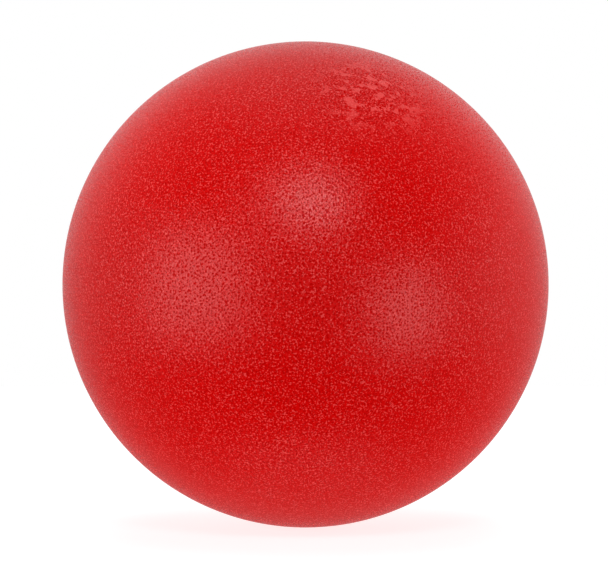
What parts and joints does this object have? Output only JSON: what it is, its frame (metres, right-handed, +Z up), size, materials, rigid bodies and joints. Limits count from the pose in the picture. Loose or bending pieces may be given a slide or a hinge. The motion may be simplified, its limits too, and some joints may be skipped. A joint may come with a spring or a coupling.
{
  "type": "massage ball",
  "caption": "Soft inflatable massage and exercise ball with a fine pored skin, a moulded-in valve seat and a push-in plug.",
  "frame": {"origin": "centre of the ball", "axes": "+Z up, +Y along the valve's axis and out of the ball, +X completes the right-handed set"},
  "size_m": [0.2302, 0.23, 0.2302],
  "materials": {
    "skin_vinyl": "satin red soft vinyl with fine round pores",
    "seat_vinyl": "smooth satin red firm vinyl",
    "plug_vinyl": "smooth satin off-white vinyl"
  },
  "bodies": {
    "ball": {"ball_skin": "skin_vinyl", "valve_seat": "seat_vinyl"},
    "plug": {"valve_plug": "plug_vinyl"}
  },
  "joints": [
    {"name": "plug_pull", "type": "slide", "parent": "ball", "child": "plug", "axis": [0, 1, 0], "range_m": [0, 0.03]}
  ]
}
